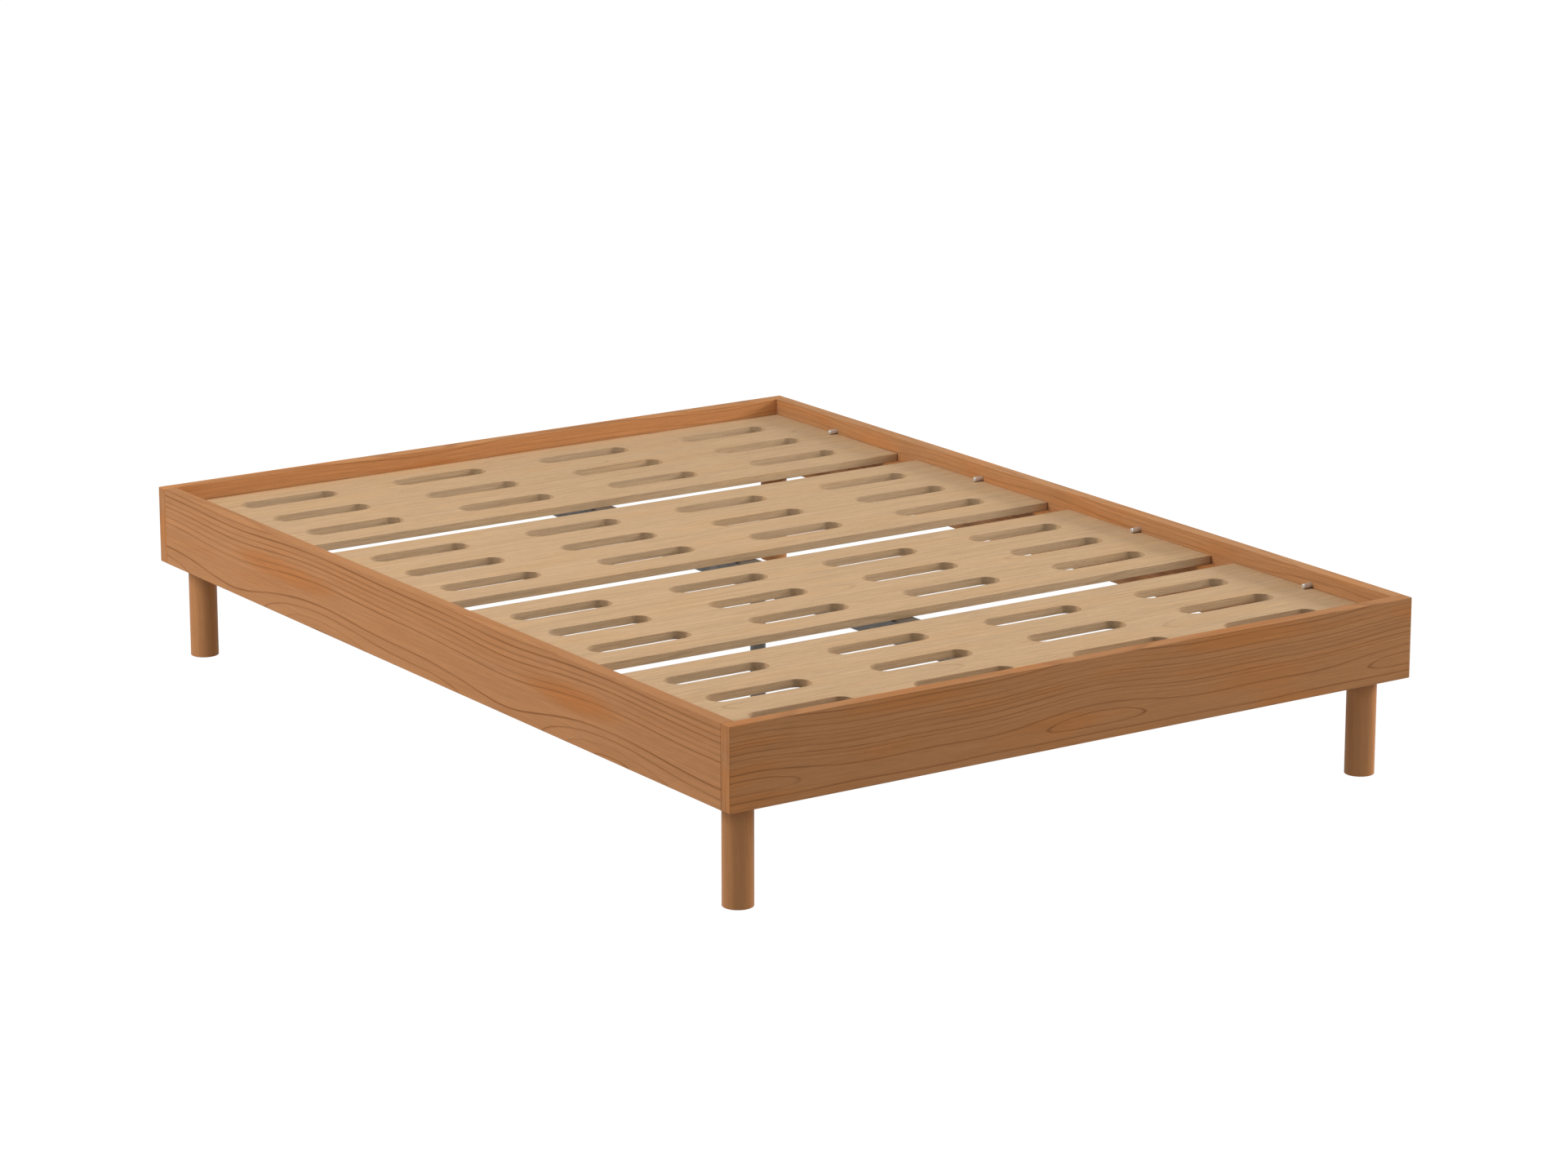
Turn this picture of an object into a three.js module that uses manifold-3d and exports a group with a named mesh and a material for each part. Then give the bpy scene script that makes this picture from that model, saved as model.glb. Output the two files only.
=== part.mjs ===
// Platform bed frame for a full (double) mattress.
//
// Four boards stand on edge around the mattress. Four slotted deck panels rest on a wooden
// ledge along each side rail and on a steel beam down the middle. Four round legs screw into
// blocks in the corners, and one steel leg with a levelling foot carries the beam.
//
// Millimetres. Origin on the floor under the middle of the bed. X runs across the bed,
// Y from the foot end to the head end, Z up.

import * as THREE from 'three';
import { mergeVertices } from 'three/addons/utils/BufferGeometryUtils.js';
import Module from 'manifold-3d';

const wasm = await Module();
wasm.setup();

// ---------------------------------------------------------------- driving dimensions

const GAP = 0.3; // left between pieces that touch

const MATTRESS_W = 1372; // 54 in
const MATTRESS_L = 1905; // 75 in
const BOARD_T = 25;
const BOARD_H = 145;
const LEG_H = 180; // floor to the underside of the boards

const OUTER_W = MATTRESS_W + 2 * BOARD_T;
const OUTER_L = MATTRESS_L + 2 * BOARD_T;

const DECK_T = 14.5;
const DECK_TOP = LEG_H + BOARD_H - 31.5;
const DECK_BOTTOM = DECK_TOP - DECK_T;
const PANEL_COUNT = 4;
const PANEL_W = MATTRESS_W - 3; // across the bed
const PANEL_L = 423; // along the bed
const PANEL_PITCH = 491;
const SLOT_L = 203;
const SLOT_W = 49;
const SLOT_COLUMNS = 4;
const SLOT_ROWS = 3;
const SLOT_PITCH_X = 328.5;
const SLOT_PITCH_Y = 126;

const PIN_R = 4.75;
const PIN_STANDS_OUT = 18.5;
const PIN_BORE_DEPTH = 20;
const PIN_RUNNING_CLEARANCE = 0.08;
const PIN_CHAMFER = 0.6;
const PIN_Z = DECK_TOP + PIN_R + 0.25; // the pin just clears the panel

const LEDGE_W = 36;
const LEDGE_H = 38;
const LEDGE_TOP = DECK_BOTTOM - GAP;

const LEG_R = 26.5;
const LEG_CHAMFER = 1.2;
const LEG_INSET_X = 56; // leg centre from the outer side face
const LEG_INSET_Y = 61; // leg centre from the outer end face
const LEG_X = OUTER_W / 2 - LEG_INSET_X;
const LEG_Y = OUTER_L / 2 - LEG_INSET_Y;
const GLIDE_R = 15;
const GLIDE_T = 4;
const GLIDE_STANDS_OUT = 1.5;
const GLIDE_CHAMFER = 0.5;

const BLOCK_SIZE = 90;
const BLOCK_H = 50;
const BLOCK_CHAMFER = 24;

const STUD_R = 5;
const STUD_IN_LEG = 35;
const STUD_LENGTH = 92;
const STUD_CHAMFER = 1;
const TEE_NUT_R = 6;
const TEE_NUT_FLANGE_R = 13;
const TEE_NUT_FLANGE_T = 1.6;
const TEE_NUT_BARREL = 14;

const SCREW_R = 3.5; // corner screws
const SCREW_HEAD_R = 6.5;
const SCREW_HEAD_T = 8;
const SCREW_SOCKET_FLATS = 6;
const SCREW_SOCKET_DEPTH = 4;
const SCREW_COUNTERBORE = 38;
const SCREW_COUNTERBORE_R = SCREW_HEAD_R + 0.8;
const SCREW_BITE = 18;
const SCREW_POINT_L = 3;
const SCREW_POINT_R = 1.2;
const SIDE_SCREW_Y = 938;
const SIDE_SCREW_Z = 216;
const END_SCREW_X = 632;
const END_SCREW_Z = 193;

const BEAM_W = 45;
const BEAM_H = 45;
const BEAM_WALL = 2;
const BEAM_CORNER_R = 4;
const BEAM_END_CLEARANCE = 1.2;
const BEAM_TOP = DECK_BOTTOM - GAP;
const BEAM_BOTTOM = BEAM_TOP - BEAM_H;

const BRACKET_T = 2.5;
const BRACKET_REACH = 32;
const BRACKET_SIDE_CLEARANCE = 0.5;
const BRACKET_CHEEK_H = 36;
const BRACKET_PLATE_W = 88;
const BRACKET_PLATE_H = 42;
const BRACKET_SCREW_X = 34.5;
const BRACKET_SCREW_Z = 256;
const BRACKET_SCREW_R = 2.3;
const BRACKET_SCREW_HEAD_R = 4.6;
const BRACKET_SCREW_HEAD_T = 2.6;
const BRACKET_SCREW_HEAD_CHAMFER = 1.2;
const BRACKET_SCREW_BITE = 15;
const BRACKET_SCREW_POINT_R = 0.6;

const POST_R = 14.3;
const POST_WALL = 1.6;
const POST_BOTTOM = 25.7;
const POST_FERRULE_H = 10;
const POST_FERRULE_R = POST_R - 0.2;
const FLANGE_L = 92;
const FLANGE_T = 4;
const FLANGE_TOP = BEAM_BOTTOM - GAP;
const FLANGE_BOLT_Y = 32;
const FLANGE_BOLT_R = 3;
const FLANGE_BOLT_LENGTH = 13; // under the head
const FLANGE_BOLT_CHAMFER = 0.6;
const FLANGE_BOLT_HEAD_H = 4;
const FLANGE_BOLT_FLATS = 10;

const FOOT_R = 20;
const FOOT_H = 9;
const FOOT_RIM_H = 5.5; // the foot slopes from here up to its neck
const FOOT_NECK_R = 13;
const FOOT_CHAMFER = 1;
const FOOT_SOCKET = 5; // depth of the stem's socket in the foot
const STEM_TOP = 58;
const LOCK_NUT_H = 6;
const LOCK_NUT_FLATS = 17;

const OVERSHOOT = 1; // how far a cutter runs past the face it cuts, or a joined part into its neighbour

// Sides of the round pieces.
const SEGMENTS = 12;
const PIN_SEGMENTS = 16;
const POST_SEGMENTS = 24;
const FOOT_SEGMENTS = 24;
const SLOT_END_SEGMENTS = 8; // in each half circle
const BEAM_CORNER_SEGMENTS = 4; // in each quarter circle
const LEG_SEGMENTS = 32;

// ---------------------------------------------------------------- materials

const finish = (color, roughness, metalness) => ({ color, roughness, metalness });
const FRAME_WOOD = finish(0xa9703f, 0.5, 0);
const LEG_WOOD = finish(0xa06a40, 0.5, 0);
const DECK_WOOD = finish(0xc8a57e, 0.6, 0);
const BLOCK_WOOD = finish(0xb98a5c, 0.65, 0);
const DARK_STEEL = finish(0x4b4644, 0.45, 0.8);
const BRIGHT_STEEL = finish(0xb9b6b0, 0.3, 1);
const ZINC_STEEL = finish(0xa3a5a6, 0.35, 0.9);
const NYLON = finish(0x2b2a29, 0.6, 0);

// ---------------------------------------------------------------- solids

// A closed three.js geometry as a manifold-3d solid.
function solid(geometry) {
  const bare = geometry.clone();
  bare.deleteAttribute('normal');
  bare.deleteAttribute('uv');
  const merged = mergeVertices(bare, 1e-4);
  const index = merged.index.array;
  const triangles = [];
  for (let i = 0; i < index.length; i += 3) {
    const [a, b, c] = index.slice(i, i + 3);
    if (a !== b && b !== c && c !== a) triangles.push(a, b, c);
  }
  const vertProperties = merged.attributes.position.array;
  const triVerts = new Uint32Array(triangles);
  return new wasm.Manifold(new wasm.Mesh({ numProp: 3, vertProperties, triVerts }));
}

function geometryOf(manifold) {
  const mesh = manifold.getMesh();
  const geometry = new THREE.BufferGeometry();
  geometry.setAttribute('position', new THREE.BufferAttribute(mesh.vertProperties, 3));
  geometry.setIndex(new THREE.BufferAttribute(mesh.triVerts, 1));
  geometry.computeVertexNormals();
  return geometry;
}

function cut(body, cutters) {
  return cutters.reduce((rest, cutter) => rest.subtract(cutter), body);
}

function join(bodies) {
  return bodies.reduce((whole, next) => whole.add(next));
}

// A box centred on (x, y) with its underside at z.
function box(sizeX, sizeY, sizeZ, x = 0, y = 0, z = 0) {
  return solid(new THREE.BoxGeometry(sizeX, sizeY, sizeZ).translate(x, y, z + sizeZ / 2));
}

// A solid of revolution about Z, from [radius, z] points that run up its outside.
function turned(points, segments = SEGMENTS) {
  const profile = points.map(([r, z]) => new THREE.Vector2(r, z));
  return solid(new THREE.LatheGeometry(profile, segments).rotateX(Math.PI / 2));
}

// A ring or tube about Z.
function ring(innerR, outerR, z0, z1, segments = SEGMENTS) {
  return turned([[innerR, z0], [outerR, z0], [outerR, z1], [innerR, z1], [innerR, z0]], segments);
}

// A round bar about Z with a small chamfer at both ends.
function bar(radius, z0, z1, chamfer = 0, segments = SEGMENTS) {
  const points = [[0, z0], [radius - chamfer, z0]];
  if (chamfer > 0) points.push([radius, z0 + chamfer], [radius, z1 - chamfer]);
  points.push([radius - chamfer, z1], [0, z1]);
  return turned(points, segments);
}

function hexagon(acrossFlats, z0, z1) {
  const radius = acrossFlats / Math.sqrt(3);
  return turned([[0, z0], [radius, z0], [radius, z1], [0, z1]], 6);
}

// A solid made along +Z, laid so that it runs along a horizontal direction from a point.
const ALONG = {
  '+x': [0, Math.PI / 2],
  '-x': [0, -Math.PI / 2],
  '+y': [-Math.PI / 2, 0],
  '-y': [Math.PI / 2, 0],
};
function laid(body, direction, x, y, z) {
  const turn = new THREE.Matrix4().makeRotationFromEuler(new THREE.Euler(...ALONG[direction], 0));
  const place = new THREE.Matrix4().makeTranslation(x, y, z).multiply(turn);
  return body.transform(place.elements);
}

// A prism along Z of an outline and its holes. ExtrudeGeometry cuts an arc into 2 * curveSegments.
function prism(shape, height, arcSegments = 2) {
  const curveSegments = arcSegments / 2;
  return solid(new THREE.ExtrudeGeometry(shape, { depth: height, bevelEnabled: false, curveSegments }));
}

function roundedRectangle(path, width, height, radius) {
  const x = width / 2 - radius;
  const y = height / 2 - radius;
  path.moveTo(x, -height / 2);
  path.absarc(x, -y, radius, -Math.PI / 2, 0);
  path.absarc(x, y, radius, 0, Math.PI / 2);
  path.absarc(-x, y, radius, Math.PI / 2, Math.PI);
  path.absarc(-x, -y, radius, Math.PI, 1.5 * Math.PI);
  path.closePath();
  return path;
}

// ---------------------------------------------------------------- assembly helper

const bed = new THREE.Group();

function piece(name, body, look, x = 0, y = 0, z = 0, parent = bed) {
  const mesh = new THREE.Mesh(geometryOf(body), new THREE.MeshStandardMaterial(look));
  mesh.name = name;
  mesh.position.set(x, y, z);
  parent.add(mesh);
  return mesh;
}

const SIDES = [['left', -1], ['right', 1]];
const ENDS = [['foot', -1], ['head', 1]];
const panelY = (k) => (k - (PANEL_COUNT - 1) / 2) * PANEL_PITCH;

// ---------------------------------------------------------------- boards and ledges

// The end boards run the full width and cover the ends of the side rails.
function endBoard(end, sy) {
  const inward = sy < 0 ? '-y' : '+y';
  const innerFace = -sy * BOARD_T / 2;
  const depth = SCREW_BITE + GAP;
  const cornerHoles = SIDES.map(([, sx]) =>
    laid(bar(SCREW_R + GAP, 0, depth), inward, sx * END_SCREW_X, innerFace, END_SCREW_Z - LEG_H));
  const bracketHoles = SIDES.map(([, sx]) =>
    laid(bar(BRACKET_SCREW_R + GAP, 0, BRACKET_SCREW_BITE + GAP), inward,
      sx * BRACKET_SCREW_X, innerFace, BRACKET_SCREW_Z - LEG_H));
  const body = cut(box(OUTER_W, BOARD_T, BOARD_H), [...cornerHoles, ...bracketHoles]);
  piece(`${end}_board`, body, FRAME_WOOD, 0, sy * (OUTER_L - BOARD_T) / 2, LEG_H);
}

function sideRail(side, sx) {
  const outward = sx < 0 ? '-x' : '+x';
  const innerFace = -sx * BOARD_T / 2;
  const screwHoles = ENDS.map(([, sy]) =>
    laid(bar(SCREW_R + GAP, 0, SCREW_BITE + GAP), outward,
      innerFace, sy * SIDE_SCREW_Y, SIDE_SCREW_Z - LEG_H));
  const pinBores = [];
  for (let k = 0; k < PANEL_COUNT; k += 1) {
    const bore = bar(PIN_R + PIN_RUNNING_CLEARANCE, 0, PIN_BORE_DEPTH + GAP, 0, PIN_SEGMENTS);
    pinBores.push(laid(bore, outward, innerFace, panelY(k), PIN_Z - LEG_H));
  }
  const body = cut(box(BOARD_T, MATTRESS_L - 2 * GAP, BOARD_H), [...screwHoles, ...pinBores]);
  piece(`side_rail_${side}`, body, FRAME_WOOD, sx * (OUTER_W - BOARD_T) / 2, 0, LEG_H);
}

function sideLedge(side, sx) {
  const x = sx * (MATTRESS_W / 2 - GAP - LEDGE_W / 2);
  const body = box(LEDGE_W, MATTRESS_L - 2 * GAP, LEDGE_H);
  piece(`side_ledge_${side}`, body, FRAME_WOOD, x, 0, LEDGE_TOP - LEDGE_H);
}

// ---------------------------------------------------------------- deck

function slot(x, y) {
  const path = new THREE.Path();
  const reach = (SLOT_L - SLOT_W) / 2;
  path.moveTo(x - reach, y - SLOT_W / 2);
  path.absarc(x + reach, y, SLOT_W / 2, -Math.PI / 2, Math.PI / 2);
  path.absarc(x - reach, y, SLOT_W / 2, Math.PI / 2, 1.5 * Math.PI);
  path.closePath();
  return path;
}

function deckPanel(k) {
  const outline = new THREE.Shape();
  outline.moveTo(-PANEL_W / 2, -PANEL_L / 2);
  outline.lineTo(PANEL_W / 2, -PANEL_L / 2);
  outline.lineTo(PANEL_W / 2, PANEL_L / 2);
  outline.lineTo(-PANEL_W / 2, PANEL_L / 2);
  for (let column = 0; column < SLOT_COLUMNS; column += 1) {
    for (let row = 0; row < SLOT_ROWS; row += 1) {
      const x = (column - (SLOT_COLUMNS - 1) / 2) * SLOT_PITCH_X;
      const y = (row - (SLOT_ROWS - 1) / 2) * SLOT_PITCH_Y;
      outline.holes.push(slot(x, y));
    }
  }
  const panel = prism(outline, DECK_T, SLOT_END_SEGMENTS);
  piece(`deck_panel_${k + 1}`, panel, DECK_WOOD, 0, panelY(k), DECK_BOTTOM);
}

// A steel pin through the rail's inner face lies over each end of each panel.
function panelPin(side, sx, k) {
  const outward = sx < 0 ? '-x' : '+x';
  const pin = laid(bar(PIN_R, 0, PIN_STANDS_OUT + PIN_BORE_DEPTH, PIN_CHAMFER, PIN_SEGMENTS),
    outward, 0, 0, 0);
  const tip = sx * (MATTRESS_W / 2 - PIN_STANDS_OUT);
  piece(`panel_pin_${side}_${k + 1}`, pin, BRIGHT_STEEL, tip, panelY(k), PIN_Z);
}

// ---------------------------------------------------------------- corners

// Each corner is a group at the leg's centre. A block ties the two boards together, and the
// leg's stud screws up into a tee nut on top of the block.
function corner(end, sy, side, sx) {
  const at = `${end}_${side}`;
  const group = new THREE.Group();
  group.position.set(sx * LEG_X, sy * LEG_Y, 0);
  bed.add(group);
  const add = (name, body, look, x = 0, y = 0, z = 0) => piece(`${name}_${at}`, body, look, x, y, z, group);

  const outerX = MATTRESS_W / 2 - GAP - LEG_X;
  const outerY = MATTRESS_L / 2 - GAP - LEG_Y;
  const innerX = outerX - BLOCK_SIZE;
  const innerY = outerY - BLOCK_SIZE;
  const sideScrewY = SIDE_SCREW_Y - LEG_Y;
  const endScrewX = END_SCREW_X - LEG_X;
  const outwardX = sx < 0 ? '-x' : '+x';
  const outwardY = sy < 0 ? '-y' : '+y';

  const outline = new THREE.Shape([
    [outerX, outerY], [innerX, outerY], [innerX, innerY + BLOCK_CHAMFER],
    [innerX + BLOCK_CHAMFER, innerY], [outerX, innerY],
  ].map(([x, y]) => new THREE.Vector2(sx * x, sy * y)));
  const counterbore = bar(SCREW_COUNTERBORE_R, -OVERSHOOT, SCREW_COUNTERBORE);
  const shankHole = bar(SCREW_R + GAP, 0, BLOCK_SIZE + OVERSHOOT);
  const block = cut(prism(outline, BLOCK_H), [
    bar(STUD_R + GAP, -OVERSHOOT, BLOCK_H + OVERSHOOT),
    bar(TEE_NUT_R + GAP, BLOCK_H - TEE_NUT_BARREL - GAP, BLOCK_H + OVERSHOOT),
    laid(counterbore, outwardX, sx * innerX, sy * sideScrewY, SIDE_SCREW_Z - LEG_H),
    laid(shankHole, outwardX, sx * innerX, sy * sideScrewY, SIDE_SCREW_Z - LEG_H),
    laid(counterbore, outwardY, sx * endScrewX, sy * innerY, END_SCREW_Z - LEG_H),
    laid(shankHole, outwardY, sx * endScrewX, sy * innerY, END_SCREW_Z - LEG_H),
  ]);
  add('corner_block', block, BLOCK_WOOD, 0, 0, LEG_H);

  // Corner screw: a cylinder head with a hexagon socket, made along +Z from the head's outer face.
  const cornerScrew = (length) => {
    const shank = turned([[0, 0], [SCREW_HEAD_R, 0], [SCREW_HEAD_R, SCREW_HEAD_T], [SCREW_R, SCREW_HEAD_T],
      [SCREW_R, length - SCREW_POINT_L], [SCREW_POINT_R, length], [0, length]]);
    return shank.subtract(hexagon(SCREW_SOCKET_FLATS, -OVERSHOOT, SCREW_SOCKET_DEPTH));
  };
  const screwLength = BLOCK_SIZE - SCREW_COUNTERBORE + SCREW_HEAD_T + SCREW_BITE;
  const headStart = SCREW_COUNTERBORE - SCREW_HEAD_T - GAP;
  const sideScrew = laid(cornerScrew(screwLength), outwardX, 0, 0, 0);
  const endScrew = laid(cornerScrew(screwLength), outwardY, 0, 0, 0);
  add('side_rail_screw', sideScrew, ZINC_STEEL, sx * (innerX + headStart), sy * sideScrewY, SIDE_SCREW_Z);
  add('end_board_screw', endScrew, ZINC_STEEL, sx * endScrewX, sy * (innerY + headStart), END_SCREW_Z);

  const legTop = LEG_H - GAP;
  const leg = cut(bar(LEG_R, GLIDE_STANDS_OUT, legTop, LEG_CHAMFER, LEG_SEGMENTS), [
    bar(STUD_R + GAP, legTop - STUD_IN_LEG - GAP, legTop + OVERSHOOT),
    bar(GLIDE_R + GAP, 0, GLIDE_T + GAP, 0, FOOT_SEGMENTS),
  ]);
  add('leg', leg, LEG_WOOD);
  add('leg_glide', bar(GLIDE_R, 0, GLIDE_T, GLIDE_CHAMFER, FOOT_SEGMENTS), NYLON);
  const studBottom = legTop - STUD_IN_LEG;
  add('leg_stud', bar(STUD_R, studBottom, studBottom + STUD_LENGTH, STUD_CHAMFER), ZINC_STEEL);

  const barrel = ring(STUD_R + GAP, TEE_NUT_R, -TEE_NUT_BARREL, OVERSHOOT);
  const flange = ring(STUD_R + GAP, TEE_NUT_FLANGE_R, 0, TEE_NUT_FLANGE_T);
  add('leg_tee_nut', barrel.add(flange), ZINC_STEEL, 0, 0, LEG_H + BLOCK_H + GAP);
}

// ---------------------------------------------------------------- centre beam and its brackets

function centreBeam() {
  const section = roundedRectangle(new THREE.Shape(), BEAM_W, BEAM_H, BEAM_CORNER_R);
  const hollow = new THREE.Path();
  section.holes.push(roundedRectangle(hollow, BEAM_W - 2 * BEAM_WALL, BEAM_H - 2 * BEAM_WALL,
    BEAM_CORNER_R - BEAM_WALL));
  const length = MATTRESS_L - 2 * (GAP + BRACKET_T + BEAM_END_CLEARANCE);
  const tube = laid(prism(section, length, BEAM_CORNER_SEGMENTS), '+y', 0, -length / 2, BEAM_H / 2);
  const holes = ENDS.map(([, sy]) =>
    bar(FLANGE_BOLT_R + GAP, -OVERSHOOT, BEAM_WALL + OVERSHOOT).translate(0, sy * FLANGE_BOLT_Y, 0));
  piece('centre_beam', cut(tube, holes), DARK_STEEL, 0, 0, BEAM_BOTTOM);
}

// A hanger: a plate on the end board with a shelf and two cheeks that the beam drops into.
function beamBracket(end, sy) {
  const innerHalf = BEAM_W / 2 + BRACKET_SIDE_CLEARANCE;
  const shelfTop = BEAM_BOTTOM - GAP;
  const bottom = shelfTop - BRACKET_T;
  const plateY = MATTRESS_L / 2 - GAP - BRACKET_T / 2;
  const reachY = plateY - BRACKET_REACH / 2;
  const plate = box(BRACKET_PLATE_W, BRACKET_T, BRACKET_PLATE_H, 0, 0, 0);
  const shelf = box(2 * (innerHalf + BRACKET_T), BRACKET_REACH, BRACKET_T, 0, sy * (reachY - plateY), 0);
  const cheeks = [-1, 1].map((s) => box(BRACKET_T, BRACKET_REACH, BRACKET_CHEEK_H,
    s * (innerHalf + BRACKET_T / 2), sy * (reachY - plateY), 0));
  const outward = sy < 0 ? '-y' : '+y';
  const holes = SIDES.map(([, sx]) => laid(bar(BRACKET_SCREW_R + GAP, -BRACKET_T, 2 * BRACKET_T),
    outward, sx * BRACKET_SCREW_X, 0, BRACKET_SCREW_Z - bottom));
  const bracket = cut(join([plate, shelf, ...cheeks]), holes);
  piece(`beam_bracket_${end}`, bracket, DARK_STEEL, 0, sy * plateY, bottom);

  const headT = BRACKET_SCREW_HEAD_T;
  const length = headT + GAP + BRACKET_T + GAP + BRACKET_SCREW_BITE;
  const profile = [[0, 0], [BRACKET_SCREW_HEAD_R - BRACKET_SCREW_HEAD_CHAMFER, 0],
    [BRACKET_SCREW_HEAD_R, BRACKET_SCREW_HEAD_CHAMFER], [BRACKET_SCREW_HEAD_R, headT],
    [BRACKET_SCREW_R, headT], [BRACKET_SCREW_R, length - SCREW_POINT_L],
    [BRACKET_SCREW_POINT_R, length], [0, length]];
  const headY = plateY - BRACKET_T / 2 - GAP - headT;
  for (const [side, sx] of SIDES) {
    const screw = laid(turned(profile), outward, 0, 0, 0);
    piece(`beam_bracket_screw_${end}_${side}`, screw, ZINC_STEEL,
      sx * BRACKET_SCREW_X, sy * headY, BRACKET_SCREW_Z);
  }
}

// ---------------------------------------------------------------- centre leg

function centreLeg() {
  const tubeTop = FLANGE_TOP - FLANGE_T;
  const tube = ring(POST_R - POST_WALL, POST_R, POST_BOTTOM, tubeTop + OVERSHOOT, POST_SEGMENTS);
  const ferruleTop = POST_BOTTOM + POST_FERRULE_H;
  const ferrule = ring(STUD_R + GAP, POST_FERRULE_R, POST_BOTTOM, ferruleTop, POST_SEGMENTS);
  const flange = box(BEAM_W, FLANGE_L, FLANGE_T, 0, 0, tubeTop);
  const boltHoles = ENDS.map(([, sy]) =>
    bar(FLANGE_BOLT_R + GAP, tubeTop - OVERSHOOT, FLANGE_TOP + OVERSHOOT)
      .translate(0, sy * FLANGE_BOLT_Y, 0));
  piece('centre_leg', cut(join([tube, ferrule, flange]), boltHoles), DARK_STEEL);

  const headH = FLANGE_BOLT_HEAD_H;
  const shank = bar(FLANGE_BOLT_R, headH - OVERSHOOT, headH + FLANGE_BOLT_LENGTH, FLANGE_BOLT_CHAMFER);
  const bolt = hexagon(FLANGE_BOLT_FLATS, 0, headH).add(shank);
  for (const [end, sy] of ENDS) {
    piece(`centre_leg_bolt_${end}`, bolt, ZINC_STEEL, 0, sy * FLANGE_BOLT_Y, tubeTop - GAP - headH);
  }
}

// The foot turns on its threaded stem to take up an uneven floor. The nut locks it.
function levellingFoot() {
  const socketBottom = FOOT_H - FOOT_SOCKET;
  const foot = turned([[0, 0], [FOOT_R - FOOT_CHAMFER, 0], [FOOT_R, FOOT_CHAMFER], [FOOT_R, FOOT_RIM_H],
    [FOOT_NECK_R, FOOT_H], [STUD_R + GAP, FOOT_H], [STUD_R + GAP, socketBottom], [0, socketBottom]],
  FOOT_SEGMENTS);
  piece('levelling_foot', foot, NYLON);
  piece('levelling_stem', bar(STUD_R, socketBottom + GAP, STEM_TOP, STUD_CHAMFER), ZINC_STEEL);
  const hole = bar(STUD_R + GAP, -OVERSHOOT, LOCK_NUT_H + OVERSHOOT);
  const nut = hexagon(LOCK_NUT_FLATS, 0, LOCK_NUT_H).subtract(hole);
  piece('lock_nut', nut, ZINC_STEEL, 0, 0, POST_BOTTOM - GAP - LOCK_NUT_H);
}

// ---------------------------------------------------------------- the bed

for (const [end, sy] of ENDS) {
  endBoard(end, sy);
  beamBracket(end, sy);
  for (const [side, sx] of SIDES) corner(end, sy, side, sx);
}
for (const [side, sx] of SIDES) {
  sideRail(side, sx);
  sideLedge(side, sx);
  for (let k = 0; k < PANEL_COUNT; k += 1) panelPin(side, sx, k);
}
for (let k = 0; k < PANEL_COUNT; k += 1) deckPanel(k);
centreBeam();
centreLeg();
levellingFoot();

export default bed;
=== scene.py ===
"""Looks of the platform bed frame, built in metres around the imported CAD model.

X runs across the bed, Y from the foot end to the head end, Z up. Lengths written with MM are in
millimetres. Every piece's place comes from the CAD nodes' boxes.
"""

import math
from collections import namedtuple

import bmesh
import bpy
from mathutils import Matrix, Vector


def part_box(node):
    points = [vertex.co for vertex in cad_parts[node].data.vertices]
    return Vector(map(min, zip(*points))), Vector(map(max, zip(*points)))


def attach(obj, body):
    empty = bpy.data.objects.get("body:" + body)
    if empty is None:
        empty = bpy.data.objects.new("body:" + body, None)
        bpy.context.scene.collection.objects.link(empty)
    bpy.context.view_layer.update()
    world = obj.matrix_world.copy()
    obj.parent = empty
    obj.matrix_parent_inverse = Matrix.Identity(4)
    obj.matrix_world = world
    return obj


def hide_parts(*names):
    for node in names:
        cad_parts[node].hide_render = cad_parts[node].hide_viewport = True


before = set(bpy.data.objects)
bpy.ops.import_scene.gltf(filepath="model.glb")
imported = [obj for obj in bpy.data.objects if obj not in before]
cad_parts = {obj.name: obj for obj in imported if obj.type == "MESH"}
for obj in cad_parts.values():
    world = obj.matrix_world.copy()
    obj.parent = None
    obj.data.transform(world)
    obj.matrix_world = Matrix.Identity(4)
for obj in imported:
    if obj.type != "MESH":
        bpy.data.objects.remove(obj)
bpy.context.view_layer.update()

MM = 0.001
ROOT = "bed_frame"
SIDES = ("left", "right")
ENDS = ("foot", "head")
CORNERS = [(end, side) for end in ENDS for side in SIDES]
PANELS = (1, 2, 3, 4)

# ------------------ camera, floor and light

CAMERA_PLACE = (-4.8593, -7.2350, 2.5275)
CAMERA_AIM = (0.0603, 0.0041, 0.2252)
CAMERA_LENS = 113.72
CAMERA_SENSOR = 36
CAMERA_REACH = 200
STAGE_RADIUS = 60
FLOOR_ALBEDO = 0.05
WORLD_COLOUR = (1.0, 0.99, 0.97)
WORLD_STRENGTH = 0.35
WHITE = (1.0, 1.0, 1.0)
SOFTBOXES = (  # name, place, target, watts, size and colour
    ("key", (-3.7, 1.0, 2.8), (-0.4, 0.0, 0.2), 124, 2.0, (1.0, 0.98, 0.94)),
    ("low", (-3.8, 1.6, 0.6), (-0.6, 0.4, 0.15), 15, 1.0, (1.0, 0.97, 0.92)),
    ("overhead", (-0.1, 0.1, 2.7), (0.0, 0.3, 0.3), 15, 1.2, WHITE),
    ("front", (2.0, -5.4, 3.0), (0.0, 0.0, 0.2), 88, 3.5, (0.91, 0.97, 1.0)),
    ("rim", (5.0, -1.65, 1.9), (0.5, -0.5, 0.2), 185, 1.4, WHITE),
)


def aim(obj, place, target):
    """Puts an object at a place with its -Z axis towards a target."""
    obj.location = place
    direction = Vector(target) - Vector(place)
    obj.rotation_euler = direction.to_track_quat("-Z", "Y").to_euler()


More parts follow.
